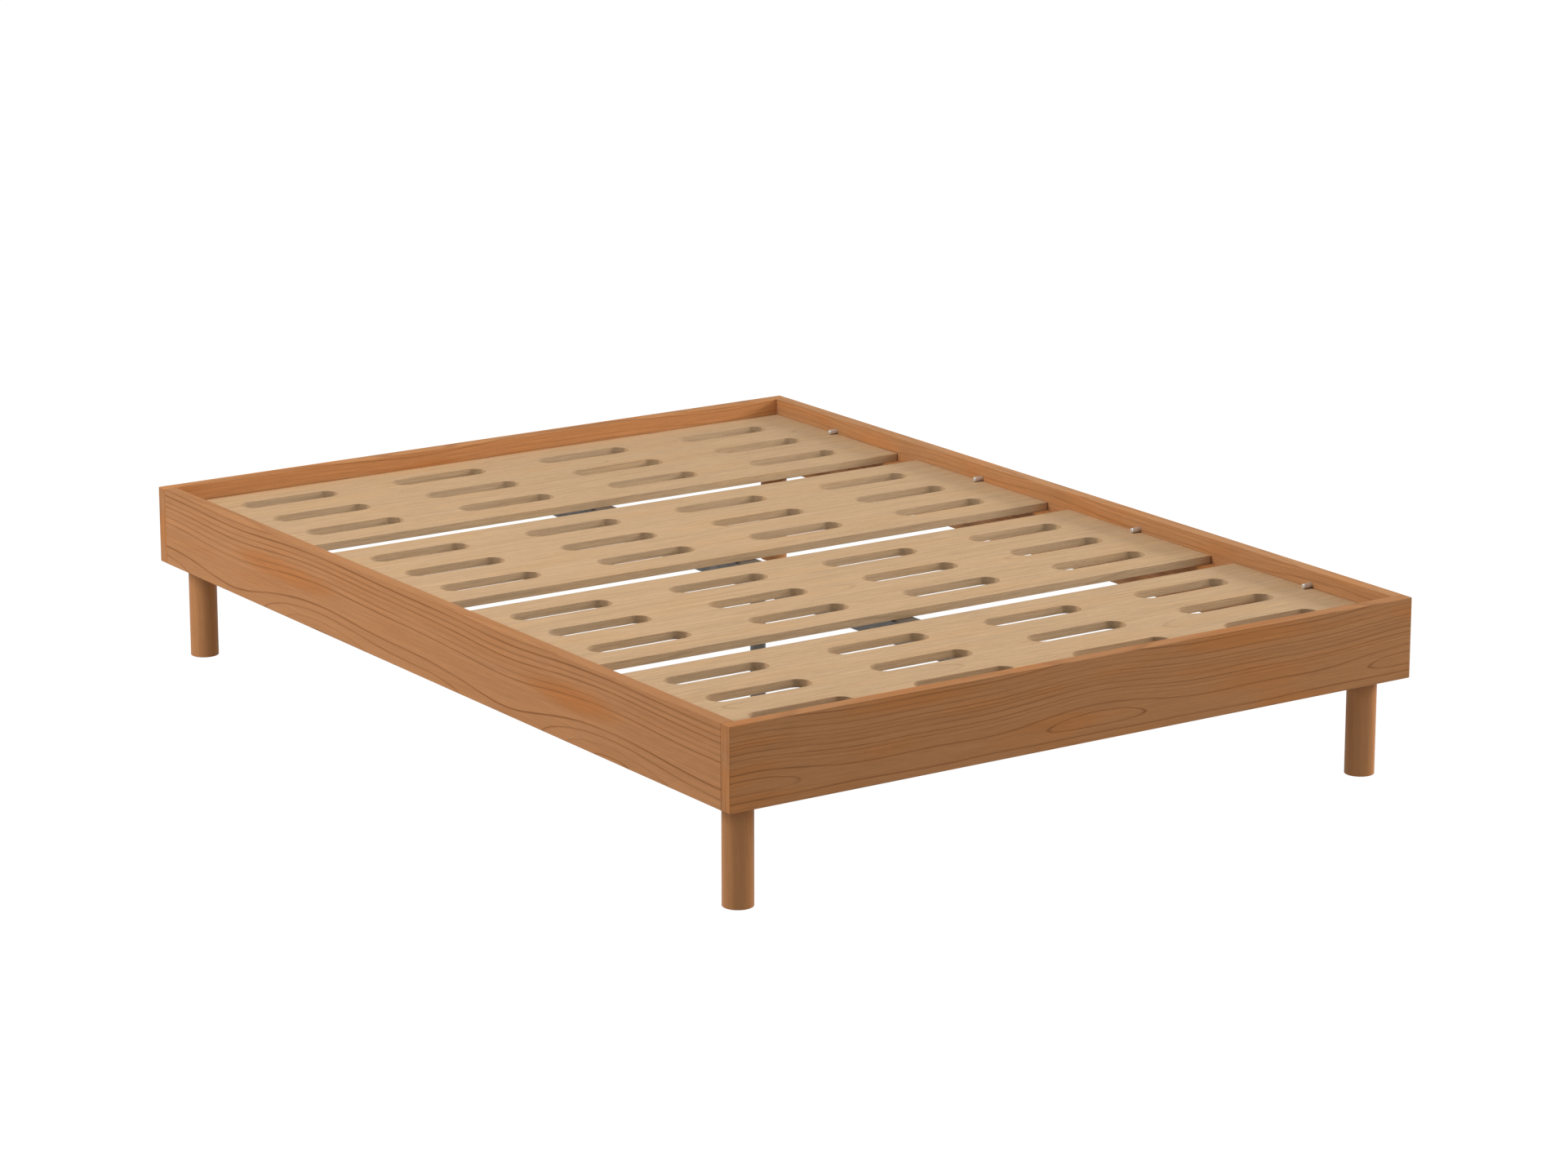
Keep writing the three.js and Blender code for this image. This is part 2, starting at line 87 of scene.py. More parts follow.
def add_camera():
    data = bpy.data.cameras.new("camera")
    data.lens = CAMERA_LENS
    data.sensor_width = CAMERA_SENSOR
    data.clip_end = CAMERA_REACH
    camera = bpy.data.objects.new("camera", data)
    bpy.context.scene.collection.objects.link(camera)
    aim(camera, CAMERA_PLACE, CAMERA_AIM)
    bpy.context.scene.camera = camera


def glowing_white(name, albedo):
    """A matt surface that also glows, so that it stays pale in the object's shade."""
    material = bpy.data.materials.new(name)
    material.use_nodes = True
    inputs = material.node_tree.nodes["Principled BSDF"].inputs
    inputs["Base Color"].default_value = (albedo, albedo, albedo, 1)
    inputs["Roughness"].default_value = 0.9
    inputs["Specular IOR Level"].default_value = 0
    inputs["Emission Color"].default_value = (*WHITE, 1)
    inputs["Emission Strength"].default_value = 1.0
    return material


def studio_piece(name, albedo, make, **shape):
    """A large piece of the studio, made by a bmesh operator, that throws no light on the object."""
    work = bmesh.new()
    make(work, radius=STAGE_RADIUS, **shape)
    mesh = bpy.data.meshes.new(name)
    work.to_mesh(mesh)
    work.free()
    mesh.materials.append(glowing_white(f"{name}_paint", albedo))
    piece = bpy.data.objects.new(name, mesh)
    piece.visible_diffuse = False
    bpy.context.scene.collection.objects.link(piece)
    return piece


def add_stage():
    """A wide floor, and a white dome that only the camera sees."""
    floor = studio_piece("floor", FLOOR_ALBEDO, bmesh.ops.create_circle, cap_ends=True, segments=96)
    dome = studio_piece("backdrop", 0.0, bmesh.ops.create_uvsphere, u_segments=48, v_segments=24)
    dome.visible_glossy = False
    dome.visible_shadow = False


def add_softbox(name, place, target, watts, size, colour):
    """A square area light that the camera doesn't see."""
    data = bpy.data.lights.new(name, "AREA")
    data.energy = watts
    data.size = size
    data.color = colour
    light = bpy.data.objects.new(name, data)
    light.visible_camera = False
    bpy.context.scene.collection.objects.link(light)
    aim(light, place, target)


def add_light():
    world = bpy.data.worlds.new("studio")
    world.use_nodes = True
    background = world.node_tree.nodes["Background"]
    background.inputs["Color"].default_value = (*WORLD_COLOUR, 1)
    background.inputs["Strength"].default_value = WORLD_STRENGTH
    bpy.context.scene.world = world
    bpy.context.scene.view_settings.view_transform = "Standard"
    for softbox in SOFTBOXES:
        add_softbox(*softbox)


# ------------------ node materials


class Shader:
    """One node material. Its methods add a node each and return the node's output."""

    def __init__(self, name):
        self.material = bpy.data.materials.new(name)
        self.material.use_nodes = True
        self.nodes = self.material.node_tree.nodes
        self.links = self.material.node_tree.links
        self.surface = self.nodes["Principled BSDF"]

    def put(self, socket, value):
        if isinstance(value, bpy.types.NodeSocket):
            self.links.new(value, socket)
        else:
            socket.default_value = value

    def set(self, **values):
        """Sets the surface's inputs, with spaces in their names written as underscores."""
        for name, value in values.items():
            self.put(self.surface.inputs[name.replace("_", " ")], value)

    def coordinates(self, output="Object"):
        return self.nodes.new("ShaderNodeTexCoord").outputs[output]

    def math(self, operation, a, b=0.0, c=0.0):
        node = self.nodes.new("ShaderNodeMath")
        node.operation = operation
        for socket, value in zip(node.inputs, (a, b, c)):
            self.put(socket, value)
        return node.outputs[0]

    def product(self, first, *others):
        for other in others:
            first = self.math("MULTIPLY", first, other)
        return first

    def squares(self, x, y):
        """x squared plus y squared."""
        return self.math("ADD", self.product(x, x), self.product(y, y))

    def vector(self, operation, a, b=(0, 0, 0)):
        node = self.nodes.new("ShaderNodeVectorMath")
        node.operation = operation
        self.put(node.inputs[0], a)
        self.put(node.inputs[1], b)
        return node.outputs["Vector"]

    def parts(self, vector):
        node = self.nodes.new("ShaderNodeSeparateXYZ")
        self.put(node.inputs[0], vector)
        return tuple(node.outputs)

    def joined(self, x, y, z):
        node = self.nodes.new("ShaderNodeCombineXYZ")
        for socket, value in zip(node.inputs, (x, y, z)):
            self.put(socket, value)
        return node.outputs[0]

    def noise(self, vector, detail=2.0, roughness=0.5):
        """Noise with a feature about one unit of `vector` wide, from 0 to 1 around 0.5."""
        node = self.nodes.new("ShaderNodeTexNoise")
        self.put(node.inputs["Vector"], vector)
        node.inputs["Scale"].default_value = 1.0
        node.inputs["Detail"].default_value = detail
        node.inputs["Roughness"].default_value = roughness
        return node.outputs["Fac"]

    def grain(self, detail, *fineness):
        """Noise over the piece, with so many features to a metre along each axis."""
        return self.noise(self.vector("MULTIPLY", self.coordinates(), fineness), detail=detail)

    def random(self, value):
        node = self.nodes.new("ShaderNodeTexWhiteNoise")
        node.noise_dimensions = "1D"
        self.put(node.inputs["W"], value)
        return node.outputs["Value"]

    def fit(self, value, low, high, to_low=0.0, to_high=1.0, smooth=True):
        """Carries low..high to to_low..to_high, and holds it at its ends."""
        node = self.nodes.new("ShaderNodeMapRange")
        node.interpolation_type = "SMOOTHSTEP" if smooth else "LINEAR"
        for socket, setting in zip(node.inputs, (value, low, high, to_low, to_high)):
            self.put(socket, setting)
        return node.outputs["Result"]

    def mix(self, share, a, b, blend="MIX"):
        node = self.nodes.new("ShaderNodeMix")
        node.data_type = "RGBA"
        node.blend_type = blend
        self.put(node.inputs["Factor"], share)
        self.put(node.inputs[6], a if not isinstance(a, tuple) else (*a, 1))
        self.put(node.inputs[7], b if not isinstance(b, tuple) else (*b, 1))
        return node.outputs[2]

    def clouded(self, colour, factor, cloud):
        """The colour, which a cloud of noise carries towards itself times a factor."""
        other = tuple(factor * value for value in colour)
        return self.mix(self.fit(cloud, 0.3, 0.7), colour, other)

    def bump(self, height, depth, strength):
        """Bump from a height of 0 to 1 that stands for `depth` metres."""
        node = self.nodes.new("ShaderNodeBump")
        self.put(node.inputs["Height"], height)
        node.inputs["Distance"].default_value = depth
        node.inputs["Strength"].default_value = strength
        self.set(Normal=node.outputs["Normal"])


class Wood(Shader):
    """Wood cut from a log whose growth rings are nearly round. Lengths are in millimetres.

    `along` and `across` are the axes (0, 1, 2) of the grain and of the board's face.
    """

    LINE_EDGE = 1.2  # how far a growth line takes to stop
    LEAST_SLANT = 0.3  # keeps the lines from growing too broad over the heart

    def __init__(self, name, along, across, seed):
        super().__init__(name)
        self.along, self.across, self.seed = along, across, seed
        self.place = self.vector("SCALE", self.coordinates())
        self.place.node.inputs["Scale"].default_value = 1 / MM
        xyz = self.parts(self.place)
        self.a, self.c, self.t = xyz[along], xyz[across], xyz[3 - along - across]
        self.facing = self.parts(self.coordinates("Normal"))
        self.drift = self.noise(self.stretched(420, 70, 1.7), detail=1.5)
        self.fibres = self.noise(self.stretched(34, 0.9), detail=3, roughness=0.6)
        self.pores = self.fit(self.noise(self.stretched(5.5, 0.45, 3.0), detail=1), 0.60, 0.74)

    def stretched(self, length, width, shift=0.0):
        """The place divided by a length along the grain and a width across it."""
        size = [width] * 3
        size[self.along] = length
        scaled = self.vector("DIVIDE", self.place, tuple(size))
        seed = self.seed
        return self.vector("ADD", scaled, (seed * 3.1 + shift, seed * 5.7 - shift, seed * 1.3 + 2 * shift))

    def faces(self, axis, elsewhere=0.0, there=1.0):
        """`there` where the surface faces along an axis, either way, and `elsewhere` where not."""
        return self.fit(self.math("ABSOLUTE", self.facing[axis]), 0.80, 0.95, elsewhere, there)

    def heart(self, pith, waves, warp):
        """Distances from the heart, which wanders along the board: straight and sideways."""
        sideways = self.math("SUBTRACT", self.c, pith[0])
        deep = self.math("SUBTRACT", self.t, pith[1])
        for depth, rise, length, phase in waves:
            rate = 2 * math.pi / length
            swing = self.math("COSINE", self.math("MULTIPLY_ADD", self.a, rate, -rate * phase))
            deep = self.math("MULTIPLY_ADD", swing, depth, deep)
            sideways = self.math("MULTIPLY_ADD", swing, -rise, sideways)
        distance = self.math("SQRT", self.squares(sideways, deep))
        distance = self.math("MULTIPLY_ADD", self.drift, warp, distance)
        ripple = self.noise(self.stretched(60, 12, 4.1), detail=2)
        return self.math("MULTIPLY_ADD", ripple, 0.16 * warp, distance), sideways

    def uneven_rings(self, distance, ring, uneven):
        """The distance, shifted so that the rings' breadths stray by up to `uneven` rings."""
        where = self.joined(self.math("DIVIDE", distance, 3.1 * ring), self.seed, 0.0)
        breadth = self.fit(self.noise(where, detail=0), 0.2, 0.8, -uneven, uneven, smooth=False)
        return self.math("MULTIPLY_ADD", breadth, ring, distance)

    def growth_lines(self, distance, sideways, number, ring, width):
        """Lines at the rings' outsides that darken slowly over a width, then stop."""
        slant = self.math("DIVIDE", self.math("ABSOLUTE", sideways), distance)
        slant = self.math("MAXIMUM", slant, self.LEAST_SLANT)
        place_in_ring = self.math("FRACT", self.math("DIVIDE", distance, ring))
        gap = self.math("DIVIDE", self.math("MULTIPLY_ADD", place_in_ring, -ring, ring), slant)
        rise = self.fit(gap, self.LINE_EDGE, self.LINE_EDGE + width, 1.0, 0.0)
        fall = self.fit(gap, 0.0, self.LINE_EDGE)
        strength = self.fit(self.random(number), 0.0, 1.0, 0.3, 1.0, smooth=False)
        fading = self.fit(self.noise(self.stretched(260, 30, 9.3)), 0.3, 0.6, 0.55, 1.0)
        return self.product(rise, fall, strength, fading)

    def patches(self, mottle, glow):
        """Where the warm patches are."""
        spots = self.fit(self.noise(self.stretched(230, 42, 6.6), detail=1), 0.46, 0.70)
        spots = self.product(spots, mottle)
        if glow:
            middle_a, middle_c, half_a, half_c = glow
            away_a = self.math("SUBTRACT", self.math("ABSOLUTE", self.a), middle_a)
            away_c = self.math("SUBTRACT", self.c, middle_c)
            away = self.squares(self.math("DIVIDE", away_a, half_a), self.math("DIVIDE", away_c, half_c))
            ragged = self.math("ADD", away, self.fit(self.drift, 0.3, 0.7, -0.3, 0.3))
            spots = self.math("MAXIMUM", spots, self.fit(ragged, 0.0, 1.3, 1.0, 0.0))
        return spots

    def fibre_shade(self, fibre):
        """Light and dark of the fibres, pores and streaks, around 1."""
        shade = self.fit(self.fibres, 0.3, 0.7, 1 - fibre, 1 + fibre, smooth=False)
        shade = self.math("MULTIPLY_ADD", self.pores, -1.4 * fibre, shade)
        streaks = self.noise(self.stretched(160, 2.6, 5.0), detail=3, roughness=0.65)
        return self.product(shade, self.fit(streaks, 0.3, 0.7, 1 - 0.7 * fibre, 1 + 0.7 * fibre))

    def sawn_ends(self, shade, level):
        """The shade, with the sawn ends lightened and given upright stripes."""
        where = self.joined(self.math("DIVIDE", self.t, 4.6), self.math("DIVIDE", self.c, 160.0), self.seed)
        stripes = self.fit(self.noise(where, detail=2), 0.36, 0.64, 0.86 * level, 1.12 * level)
        share = self.math("SUBTRACT", stripes, shade)
        return self.math("MULTIPLY_ADD", share, self.faces(self.along), shade)


def wood(name, along, across, seed, light, dark, patch, ring, pith, waves, warp=6.0, line=0.85,
         width=3.4, uneven=0.9, plain=None, glow=None, mottle=0.7, fibre=0.10, rim=1.0, ends=None,
         painted_wall_shade=False, roughness=(0.42, 0.56)):
    """A board's material, with lengths in millimetres.

    `light`, `dark` and `patch` colour the wood, its lines and its warm patches. `ring` is the mean
    breadth of a growth ring. `pith` is the heart's place, across the face and through the board.
    `waves` are (depth, rise, length, phase) of the heart's wandering along the grain, and `warp` is
    how far the rings stray from round. `width` is a growth line's breadth, `line` its strength.
    `uneven` is how far the rings' breadths stray, in rings. `plain` is the distance from the heart
    and half breadth of rings that hardly show. `glow` is a warm patch on each half of the board: its
    middle along and across, and half sizes. `mottle` and `fibre` are the strengths of the other warm
    patches and of the fibres, `rim` that of the lines on the board's narrow long faces. `ends` is how
    light the sawn ends are. `painted_wall_shade` paints shade onto faces whose normal leans the same
    way along the grain and across the face, such as parts of the slot walls near their ends.
    """
    s = Wood(name, along, across, seed)
    distance, sideways = s.heart(pith, waves, warp)
    distance = s.uneven_rings(distance, ring, uneven)
    number = s.math("FLOOR", s.math("DIVIDE", distance, ring))
    lines = s.growth_lines(distance, sideways, number, ring, width)
    if plain:
        off_band = s.math("ABSOLUTE", s.math("SUBTRACT", distance, plain[0]))
        lines = s.product(lines, s.fit(off_band, 0.75 * plain[1], 1.2 * plain[1], 0.12, 1.0))
    if rim != 1.0:
        lines = s.product(lines, s.faces(across, 1.0, rim))
    if ends:
        lines = s.product(lines, s.faces(along, 1.0, 0.0))

    shade = s.fibre_shade(fibre)
    if ends:
        shade = s.sawn_ends(shade, ends)
    # Painted shade: faces whose normal leans the same way along the grain and across the face (-X -Y or +X
    # +Y on the deck) are darkened, which shades the slot walls near their ends.
    if painted_wall_shade:
        diagonal_facing = s.product(s.facing[along], s.facing[across])
        shade = s.product(shade, s.fit(diagonal_facing, 0.10, 0.40, 1.0, 0.68))
    colour = s.mix(s.patches(mottle, glow), light, patch)
    tint = s.fit(s.random(s.math("ADD", number, 31.7)), 0.0, 1.0, 0.0, 0.16, smooth=False)
    colour = s.mix(tint, colour, dark)
    colour = s.mix(s.product(lines, line), colour, dark)
    s.set(Base_Color=s.mix(1.0, colour, s.joined(shade, shade, shade), "MULTIPLY"))
    s.set(Roughness=s.fit(s.fibres, 0.3, 0.7, *roughness, smooth=False), Specular_IOR_Level=0.12)
    height = s.math("MULTIPLY_ADD", lines, -0.25, s.math("MULTIPLY_ADD", s.pores, -0.5, s.fibres))
    s.bump(height, 0.12 * MM, 0.6)
    return s.material


def painted_steel(name, colour):
    s = Shader(name)
    cloud = s.grain(3, 60, 60, 60)
    s.set(Base_Color=s.clouded(colour, 0.72, cloud), Metallic=0.0, IOR=1.6)
    s.set(Roughness=s.fit(cloud, 0.3, 0.7, 0.30, 0.42))
    s.bump(s.grain(1, 900, 900, 900), 0.08 * MM, 0.5)
    return s.material


def bare_steel(name, colour, along, roughness=(0.26, 0.42), metallic=1.0):
    """Metal with fine turning marks around its length."""
    s = Shader(name)
    fineness = [260.0] * 3
    fineness[along] = 2400.0
    marks = s.grain(2, *fineness)
    s.set(Base_Color=s.clouded(colour, 0.8, s.grain(3, 90, 90, 90)), Metallic=metallic)
    s.set(Roughness=s.fit(marks, 0.3, 0.7, *roughness, smooth=False))
    s.bump(marks, 0.03 * MM, 0.4)
    return s.material


def moulded_nylon(name, colour):
    s = Shader(name)
    spark = s.grain(2, 1400, 1400, 1400)
    s.set(Base_Color=s.clouded(colour, 1.5, s.grain(2, 70, 70, 70)), IOR=1.53)
    s.set(Roughness=s.fit(spark, 0.3, 0.7, 0.48, 0.66))
    s.bump(spark, 0.05 * MM, 0.6)
    return s.material


# ------------------ mesh making


def new_object(name, work, middle=(0, 0, 0)):
    """An object from a bmesh made around the origin, put at `middle`."""
    bmesh.ops.remove_doubles(work, verts=work.verts, dist=1e-6)
    bmesh.ops.recalc_face_normals(work, faces=work.faces)
    for face in work.faces:
        face.smooth = True
    mesh = bpy.data.meshes.new(name)
    work.to_mesh(mesh)
    work.free()
    obj = bpy.data.objects.new(name, mesh)
    obj.location = middle
    bpy.context.scene.collection.objects.link(obj)
    return obj


def round_edges(obj, width):
    """Rounds every sharp edge and keeps the flat faces flat."""
    bevel = obj.modifiers.new("edges", "BEVEL")
    bevel.width = width
    bevel.segments = 3
    bevel.limit_method = "ANGLE"
    bevel.angle_limit = math.radians(35)
    bevel.harden_normals = True
    return obj


def keep_faces_flat(obj, angle=35):
    obj.data.set_sharp_from_angle(angle=math.radians(angle))
    modifier = obj.modifiers.new("normals", "WEIGHTED_NORMAL")
    modifier.keep_sharp = True
    return obj


def dress(obj, material, slot, *nodes, body=ROOT):
    """Gives a piece its finish, its body and the CAD nodes it stands for."""
    obj.data.materials.clear()
    obj.data.materials.append(material)
    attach(obj, body)
    if nodes:
        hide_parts(*nodes)


def middle_of(node):
    low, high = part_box(node)
    return (low + high) / 2


def size_of(node):
    low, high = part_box(node)
    return high - low


def start_of(node, axis=2, flip=False):
    """The middle of the face of a node's box that its piece grows from, the far face with `flip`."""
    start = middle_of(node)
    start[axis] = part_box(node)[1 if flip else 0][axis]
    return start


ARC = 16  # segments in a half circle
Hole = namedtuple("Hole", "u v length width half_u half_v depth side")


def hole_loop(length, width):
    """(end, angle) of points around a round-ended hole, or a round one where length equals width."""
    reach = (length - width) / 2
    turns = [(start + 180 * i / ARC, end) for start, end in ((-90, reach), (90, -reach))
             for i in range(ARC + 1)]
    return [(end, math.radians(turn)) for turn, end in turns]


def cell_loop(points, half_u, half_v):
    """For each point of a hole, the point straight out from it on its cell's edge."""
    reach = max(abs(end) for end, _ in points)
    corner = math.atan2(half_v, half_u - reach)
    step = math.pi / ARC
    outer = []
    for end, angle in points:
        side = 1 if math.cos(angle) > -1e-9 and end >= 0 else -1
        du, dv = abs(math.cos(angle)), math.sin(angle)
        local = math.atan2(abs(dv), du)
        if abs(local - corner) <= step / 2:
            outer.append((side * half_u, math.copysign(half_v, dv)))
        elif local > corner:
            away = half_v / abs(dv)
            outer.append((end + side * du * away, math.copysign(half_v, dv)))
        else:
            away = (half_u - reach) / du
            outer.append((side * half_u, dv * away))
    return outer


class Slab:
    """A flat board made of clean four-sided faces around its holes.

    `axes` are the axes of its length, height and thickness. A hole's u and v are its middle, half_u
    and half_v are half the size of the cell of faces around it, `depth` is None where it goes
    through, and `side` (-1 or 1) is the side of the thickness axis that it opens on.
    """

    def __init__(self, size, axes, holes=()):
        self.axes = axes
        self.work = bmesh.new()
        self.known = {}
        half = [size[axis] / 2 for axis in axes]
        self.half_w = half[2]
        lines_u = {-half[0], half[0]}
        lines_v = {-half[1], half[1]}
        for hole in holes:
            lines_u |= {hole.u - hole.half_u, hole.u + hole.half_u}
            lines_v |= {hole.v - hole.half_v, hole.v + hole.half_v}
        lines_u = self.merged(lines_u)
        lines_v = self.merged(lines_v)
        for side in (-1, 1):
            open_here = [hole for hole in holes if hole.depth is None or hole.side == side]
            self.cap(side, lines_u, lines_v, open_here)
        self.walls(lines_u, lines_v)
        for hole in holes:
            self.bore(hole)

    @staticmethod
    def merged(values):
        kept = []
        for value in sorted(values):
            if not kept or value - kept[-1] > 1e-6:
                kept.append(value)
        return kept

    def vert(self, u, v, w):
        key = (round(u, 6), round(v, 6), round(w, 6))
        if key not in self.known:
            place = [0.0, 0.0, 0.0]
            for axis, value in zip(self.axes, (u, v, w)):
                place[axis] = value
            self.known[key] = self.work.verts.new(place)
        return self.known[key]

    def face(self, verts):
        unique = list(dict.fromkeys(verts))
        if len(unique) > 2:
            self.work.faces.new(unique)

    def strip(self, inner, inner_w, outer, outer_w):
        """Faces between two loops of equally many (u, v) points."""
        for i in range(len(inner)):
            j = (i + 1) % len(inner)
            self.face([self.vert(*inner[i], inner_w), self.vert(*outer[i], outer_w),
                       self.vert(*outer[j], outer_w), self.vert(*inner[j], inner_w)])

    @staticmethod
    def rims(hole):
        """The hole's edge and its cell's edge, as lists of (u, v)."""
        points = hole_loop(hole.length, hole.width)
        radius = hole.width / 2
        inner = [(hole.u + end + radius * math.cos(angle), hole.v + radius * math.sin(angle))
                 for end, angle in points]
        outer = [(hole.u + x, hole.v + y) for x, y in cell_loop(points, hole.half_u, hole.half_v)]
        return inner, outer

    def cap(self, side, lines_u, lines_v, holes):
        w = side * self.half_w
        edge_points = set()
        for hole in holes:
            inner, outer = self.rims(hole)
            self.strip(inner, w, outer, w)
            edge_points |= {(round(u, 6), round(v, 6)) for u, v in outer}
        for u0, u1 in zip(lines_u, lines_u[1:]):
            for v0, v1 in zip(lines_v, lines_v[1:]):
                mid_u, mid_v = (u0 + u1) / 2, (v0 + v1) / 2
                if any(abs(mid_u - hole.u) < hole.half_u and abs(mid_v - hole.v) < hole.half_v
                       for hole in holes):
                    continue
                self.face([self.vert(u, v, w) for u, v in self.outline(u0, u1, v0, v1, edge_points)])

    @staticmethod
    def outline(u0, u1, v0, v1, extra):
        """The corners of a rectangle with every extra point that lies on its edges, in order."""
        near = 2e-6

        def stops(axis, side, low, high):
            return sorted({place[axis] for place in extra if abs(place[1 - axis] - side) < near
                           and low + near < place[axis] < high - near})

        return ([(u0, v0)] + [(u, v0) for u in stops(0, v0, u0, u1)]
                + [(u1, v0)] + [(u1, v) for v in stops(1, u1, v0, v1)]
                + [(u1, v1)] + [(u, v1) for u in reversed(stops(0, v1, u0, u1))]
                + [(u0, v1)] + [(u0, v) for v in reversed(stops(1, u0, v0, v1))])

    def walls(self, lines_u, lines_v):
        u0, u1, v0, v1 = lines_u[0], lines_u[-1], lines_v[0], lines_v[-1]
        around = ([(u, v0) for u in lines_u] + [(u1, v) for v in lines_v[1:]]
                  + [(u, v1) for u in reversed(lines_u[:-1])] + [(u0, v) for v in reversed(lines_v[1:-1])])
        self.strip(around, -self.half_w, around, self.half_w)

    def bore(self, hole):
        inner, _ = self.rims(hole)
        start = hole.side * self.half_w
        stop = -start if hole.depth is None else start - hole.side * hole.depth
        self.strip(inner, start, inner, stop)
        if hole.depth is not None:
            self.face([self.vert(*point, stop) for point in inner])


def bevel_mesh(work, width):
    """Rounds the sharp edges of a mesh before anything is cut into it."""
    bmesh.ops.recalc_face_normals(work, faces=work.faces)
    sharp = [edge for edge in work.edges if edge.calc_face_angle(0) > math.radians(40)]
    bmesh.ops.bevel(work, geom=sharp, offset=width, offset_type="OFFSET", segments=2,
                    profile=0.5, affect="EDGES", clamp_overlap=True)


def loft(name, loops, middle=(0, 0, 0), closed=False, bevel=None):
    """A skin over loops of equally many points, or of one point, which is a pole.

    A closed skin runs back from its last loop to its first. Otherwise both ends are capped.
    """
    work = bmesh.new()
    rows = [[work.verts.new(point) for point in loop] for loop in loops]
    count = max(len(row) for row in rows)
    pairs = list(zip(rows, rows[1:])) + ([(rows[-1], rows[0])] if closed else [])
    for low, high in pairs:
        for i in range(count):
            j = (i + 1) % count
            corners = [low[i % len(low)], low[j % len(low)], high[j % len(high)], high[i % len(high)]]
            work.faces.new(dict.fromkeys(corners))
    if not closed:
        for row in (rows[0], rows[-1]):
            if len(row) > 1:
                work.faces.new(row)
    if bevel:
        bevel_mesh(work, bevel)
    return new_object(name, work, middle)


def around(radius, turn, z):
    """The point at a radius and a share of a turn around the Z axis."""
    angle = 2 * math.pi * turn
    return (radius * math.cos(angle), radius * math.sin(angle), z)


def circles(profile, segments):
    """A loop for each (r, z) point of a profile, which is a pole where r is 0."""
    return [[around(radius, i / segments, z) for i in range(segments if radius else 1)]
            for radius, z in profile]


def hexagon(flats, z, segments, rise=0.0, free=0.0):
    """Points around a hexagon. Beyond the radius `free` they sink by `rise` for each metre."""
    points = []
    for i in range(segments):
        angle = 2 * math.pi * i / segments
        off = (angle + math.pi / 6) % (math.pi / 3) - math.pi / 6
        radius = flats / 2 / math.cos(off)
        points.append(around(radius, i / segments, z - rise * max(0.0, radius - free)))
    return points


def rounded(profile, radius, steps=3):
    """The (r, z) profile with each inner corner of it rounded."""
    smooth = [profile[0]]
    for before, corner, after in zip(profile, profile[1:], profile[2:]):
        here = Vector(corner)
        back, ahead = Vector(before) - here, Vector(after) - here
        cut = min(radius, back.length * 0.45, ahead.length * 0.45)
        start, stop = here + back.normalized() * cut, here + ahead.normalized() * cut
        for i in range(steps + 1):
            f = i / steps
            smooth.append(tuple((1 - f) ** 2 * start + 2 * f * (1 - f) * here + f * f * stop))
    smooth.append(profile[-1])
    return smooth


def turned(name, profile, middle=(0, 0, 0), segments=48, axis=2, flip=False, closed=False):
    """A solid of revolution from (r, z) points, turned about the given axis through `middle`."""
    return placed(loft(name, circles(profile, segments), closed=closed), middle, axis, flip)


def placed(obj, middle, axis=2, flip=False):
    """Turns the mesh so that its Z runs along an axis, backwards where flip is set, and moves it."""
    if axis == 0:
        obj.data.transform(Matrix.Rotation(math.pi / 2, 4, "Y"))
    if axis == 1:
        obj.data.transform(Matrix.Rotation(-math.pi / 2, 4, "X"))
    if flip:
        turn_axis = "Z" if axis != 2 else "X"
        obj.data.transform(Matrix.Rotation(math.pi, 4, turn_axis))
    obj.location = middle
    return keep_faces_flat(obj)


# ------------------ boards and deck

BOARD_EDGE = 1.3 * MM
RAIL_EDGE = 0.6 * BOARD_EDGE
DECK_EDGE = 0.25 * MM
CORNER_SCREW_HOLE = (7.6 * MM, 18.3 * MM)  # each pair is a hole's width and depth
BRACKET_SCREW_HOLE = (5.2 * MM, 15.3 * MM)
PIN_PLAY = 0.16 * MM
PIN_HOLE_DEPTH = 20.3 * MM
SLOT_LENGTH = 203 * MM
SLOT_WIDTH = 48.6 * MM
SLOT_STEP_X = 328.5 * MM
SLOT_STEP_Y = 126 * MM
SLOT_COLUMNS, SLOT_ROWS = 4, 3


def blind_hole(board, axes, fastener, width, depth, side):
    """A round hole in a board for the CAD node of a fastener."""
    away = middle_of(fastener) - middle_of(board)
    cell = width * 1.05
    return Hole(away[axes[0]], away[axes[1]], width, width, cell, cell, depth, side)


def planed(node, axes, holes, edge, material, slot="frame_wood"):
    board = new_object(f"{node}_planed", Slab(size_of(node), axes, holes).work, middle_of(node))
    dress(round_edges(board, edge), material, slot, node)


def end_board(end, material):
    node = f"{end}_board"
    axes = (0, 2, 1)
    inward = 1 if end == "foot" else -1
    holes = []
    for side in SIDES:
        for screw, hole in (("end_board", CORNER_SCREW_HOLE), ("beam_bracket", BRACKET_SCREW_HOLE)):
            holes.append(blind_hole(node, axes, f"{screw}_screw_{end}_{side}", *hole, inward))
    planed(node, axes, holes, BOARD_EDGE, material)


def side_rail(side, material):
    node = f"side_rail_{side}"
    axes = (1, 2, 0)
    inward = 1 if side == "left" else -1
    holes = []
    for k in PANELS:
        pin = f"panel_pin_{side}_{k}"
        width = size_of(pin).z + PIN_PLAY
        holes.append(blind_hole(node, axes, pin, width, PIN_HOLE_DEPTH, inward))
    for end in ENDS:
        screw = f"side_rail_screw_{end}_{side}"
        holes.append(blind_hole(node, axes, screw, *CORNER_SCREW_HOLE, inward))
    planed(node, axes, holes, RAIL_EDGE, material)


def side_ledge(side, material):
    planed(f"side_ledge_{side}", (1, 2, 0), [], BOARD_EDGE, material)


